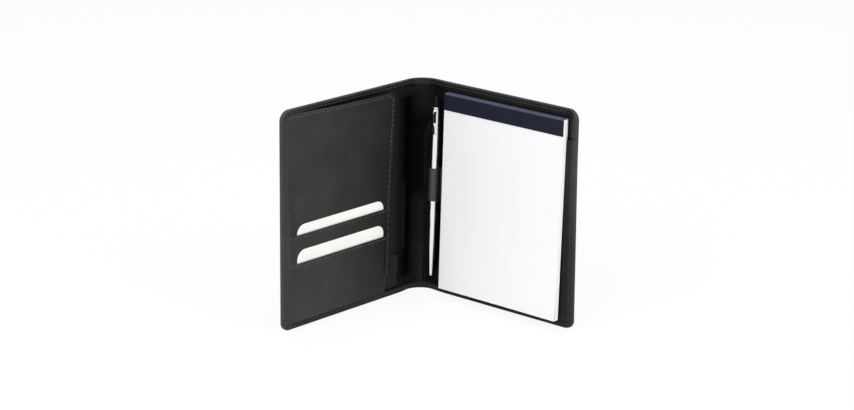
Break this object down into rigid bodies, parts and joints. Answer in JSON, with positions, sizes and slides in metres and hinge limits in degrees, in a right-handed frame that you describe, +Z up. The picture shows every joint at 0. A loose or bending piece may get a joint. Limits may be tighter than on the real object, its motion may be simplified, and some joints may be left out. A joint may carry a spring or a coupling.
{
  "type": "leather notebook",
  "caption": "Black leather writing case that folds on a rounded spine, with a document pocket, card slots, an A6 writing pad in a pocket and a chrome push pen in a leather loop.",
  "frame": {"origin": "on the surface the case stands on, under the middle of its box", "axes": "+Z up along the spine, +Y towards the spine, +X towards the cover with the pad"},
  "size_m": [0.2076, 0.0937, 0.161],
  "materials": {
    "outer_leather": "fine-grained black leather, satin",
    "inner_leather": "fine-grained black leather, satin",
    "lining_cloth": "black woven lining, matt",
    "label_weave": "black woven tape, matt",
    "grey_board": "grey board, matt",
    "card_stock": "smooth white card",
    "writing_paper": "plain white paper, matt",
    "padding_glue": "dried white padding glue",
    "navy_tape": "navy binding paper, slight sheen",
    "chrome_plate": "bright chrome plate",
    "black_plastic": "black moulded plastic",
    "turned_brass": "turned brass",
    "refill_steel": "plain steel"
  },
  "bodies": {
    "spine": {"spine_leather": "outer_leather", "spine_lining": "lining_cloth", "pocket_edge_strip": "inner_leather"},
    "left_cover": {"left_cover_leather": "outer_leather", "left_board": "grey_board", "left_lining": "lining_cloth", "pocket_backing": "lining_cloth", "document_pocket_panel": "inner_leather", "card_pocket_band": "inner_leather", "card_pocket_lower": "inner_leather", "label_tab": "label_weave"},
    "upper_card": {"upper_card": "card_stock"},
    "lower_card": {"lower_card": "card_stock"},
    "right_cover": {"right_cover_leather": "outer_leather", "right_board": "grey_board", "right_lining": "lining_cloth", "pad_pocket_panel": "inner_leather", "pen_loop": "inner_leather"},
    "pad": {"pad_backing_card": "grey_board", "pad_glue": "padding_glue", "pad_sheets": "writing_paper", "pad_binding_strip": "navy_tape"},
    "page": {"pad_top_sheet": "writing_paper"},
    "pen": {"pen_lower_barrel": "chrome_plate", "pen_upper_barrel": "chrome_plate", "pen_joining_sleeve": "turned_brass", "pen_top_ring": "chrome_plate", "pen_clip": "chrome_plate", "pen_clip_bead": "black_plastic", "pen_spring": "refill_steel"},
    "refill_set": {"pen_plunger": "black_plastic", "pen_thrust_tube": "black_plastic", "pen_refill": "refill_steel", "pen_refill_point": "turned_brass"}
  },
  "joints": [
    {"name": "left_fold", "type": "hinge", "parent": "spine", "child": "left_cover", "pos_m": [-0.01115, 0.04203, 0], "axis": [0, 0, 1], "range_deg": [-42.5, 47.5]},
    {"name": "right_fold", "type": "hinge", "parent": "spine", "child": "right_cover", "pos_m": [0.01115, 0.04203, 0], "axis": [0, 0, -1], "range_deg": [-42.5, 47.5]},
    {"name": "upper_card_slide", "type": "slide", "parent": "left_cover", "child": "upper_card", "axis": [0.039, -0.0426, 0.9983], "range_m": [0, 0.03]},
    {"name": "lower_card_slide", "type": "slide", "parent": "left_cover", "child": "lower_card", "axis": [0.039, -0.0426, 0.9983], "range_m": [0, 0.03]},
    {"name": "pad_slide", "type": "slide", "parent": "right_cover", "child": "pad", "axis": [0, 0, 1], "range_m": [0, 0.07]},
    {"name": "page_turn", "type": "hinge", "parent": "pad", "child": "page", "pos_m": [0.05344, -0.00903, 0.14207], "axis": [-0.7373, 0.6756, 0], "range_deg": [0, 178]},
    {"name": "pen_slide", "type": "slide", "parent": "right_cover", "child": "pen", "axis": [0.0154, -0.0141, 0.9998], "range_m": [0, 0.06]},
    {"name": "pen_click", "type": "slide", "parent": "pen", "child": "refill_set", "axis": [-0.0154, 0.0141, -0.9998], "range_m": [0, 0.004], "stiffness_N_per_m": 150, "springref_m": -0.006, "deforming": ["pen_spring"]}
  ]
}
